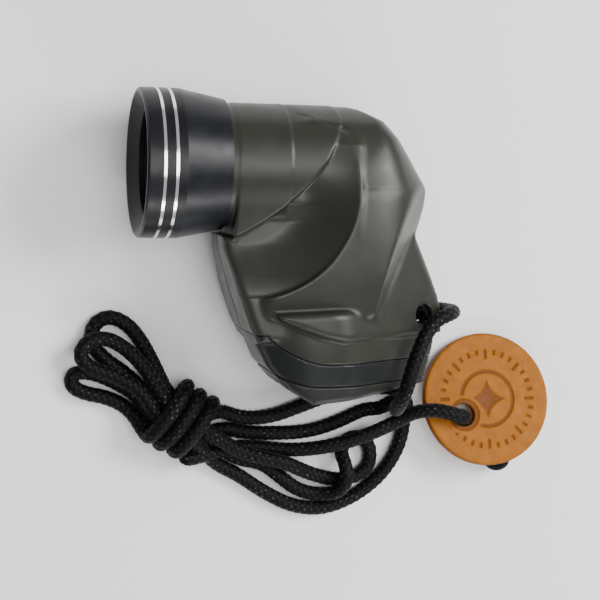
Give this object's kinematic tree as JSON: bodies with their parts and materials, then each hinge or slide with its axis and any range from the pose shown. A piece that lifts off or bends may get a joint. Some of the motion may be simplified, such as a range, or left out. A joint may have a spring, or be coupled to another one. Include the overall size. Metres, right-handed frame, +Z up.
{
  "type": "handheld bearing compass",
  "caption": "Handheld bearing compass: focusing eyepiece over a mirror and a liquid-damped compass card in a moulded casing, with a braided neck cord and a leather tag.",
  "frame": {"origin": "centre of the compass's footprint on the table it lies on, without the cord and tag", "axes": "+X along the eyepiece axis from the eyepiece to the rear, +Y the compass's own up, +Z up from the table, across the compass"},
  "size_m": [0.1501, 0.1295, 0.0424],
  "materials": {
    "casing_plastic": "satin moulded",
    "ring_plastic": "satin tinted",
    "base_plastic": "satin moulded",
    "barrel_plastic": "satin black",
    "bright_metal": "polished",
    "screw_steel": "plain",
    "filler_brass": "plain",
    "lens_glass": "clear polished",
    "capsule_plastic": "clear moulded",
    "card_white": "matt printed",
    "mirror_glass": "front silvered",
    "seal_rubber": "matt",
    "cord_black": "braided",
    "tag_leather": "vegetable tanned"
  },
  "bodies": {
    "casing": {"housing_right": "casing_plastic", "housing_left": "casing_plastic", "housing_screws": "screw_steel", "light_ring": "ring_plastic", "base_cap": "base_plastic", "base_screws": "screw_steel", "helicoid_sleeve": "barrel_plastic", "guide_key": "screw_steel", "mirror": "mirror_glass", "mirror_holder": "casing_plastic", "mirror_clips": "screw_steel", "capsule_cover": "lens_glass", "capsule_gasket": "seal_rubber", "capsule_bowl": "capsule_plastic", "capsule_cushion": "seal_rubber", "capsule_support": "casing_plastic", "filler_screw": "filler_brass", "expansion_membrane": "seal_rubber", "pivot_post": "screw_steel", "lubber_line": "screw_steel", "barrel_o_ring": "seal_rubber", "cord_ear_strand": "cord_black", "cord_tag_strand": "cord_black", "cord_strand_upper": "cord_black", "cord_strand_middle": "cord_black", "cord_strand_lower": "cord_black", "cord_loop_outer": "cord_black", "cord_loop_inner": "cord_black", "cord_knot": "cord_black", "cord_end_knot": "cord_black", "cord_hank": "cord_black"},
    "lens_unit": {"lens_carriage": "barrel_plastic", "eyepiece_lens": "lens_glass", "lens_retaining_ring": "barrel_plastic"},
    "focus_ring": {"focus_barrel": "barrel_plastic", "trim_ring_front": "bright_metal", "trim_ring_rear": "bright_metal"},
    "gimbal_pitch": {"jewel_cup": "lens_glass"},
    "gimbal_roll": {"card_float": "capsule_plastic"},
    "card": {"card_disc": "card_white", "card_magnets": "screw_steel"},
    "tag": {"leather_tag": "tag_leather"}
  },
  "joints": [
    {"name": "focus_travel", "type": "slide", "parent": "casing", "child": "lens_unit", "axis": [1, 0, 0], "range_m": [-0.00125, 0.00125]},
    {"name": "focus_turn", "type": "hinge", "parent": "lens_unit", "child": "focus_ring", "pos_m": [-0.035, 0.02315, 0.0212], "axis": [1, 0, 0], "range_deg": [-150, 150]},
    {"name": "card_pitch", "type": "hinge", "parent": "casing", "child": "gimbal_pitch", "pos_m": [0.0061, -0.02445, 0.0212], "axis": [1, 0, 0], "range_deg": [-7, 7]},
    {"name": "card_roll", "type": "hinge", "parent": "gimbal_pitch", "child": "gimbal_roll", "pos_m": [0.0061, -0.02445, 0.0212], "axis": [0, 0, 1], "range_deg": [-7, 7]},
    {"name": "card_spin", "type": "hinge", "parent": "gimbal_roll", "child": "card", "pos_m": [0.0061, -0.02445, 0.0212], "axis": [0, 1, 0], "continuous": true},
    {"name": "tag_swing", "type": "hinge", "parent": "casing", "child": "tag", "pos_m": [0.0596, -0.0539, 0.0075], "axis": [0, 0.2419, 0.9703], "range_deg": [-20, 8]}
  ],
  "couplings": [
    {"joint": "focus_turn", "follows": "focus_travel", "rad_per_m": 2094.4}
  ]
}
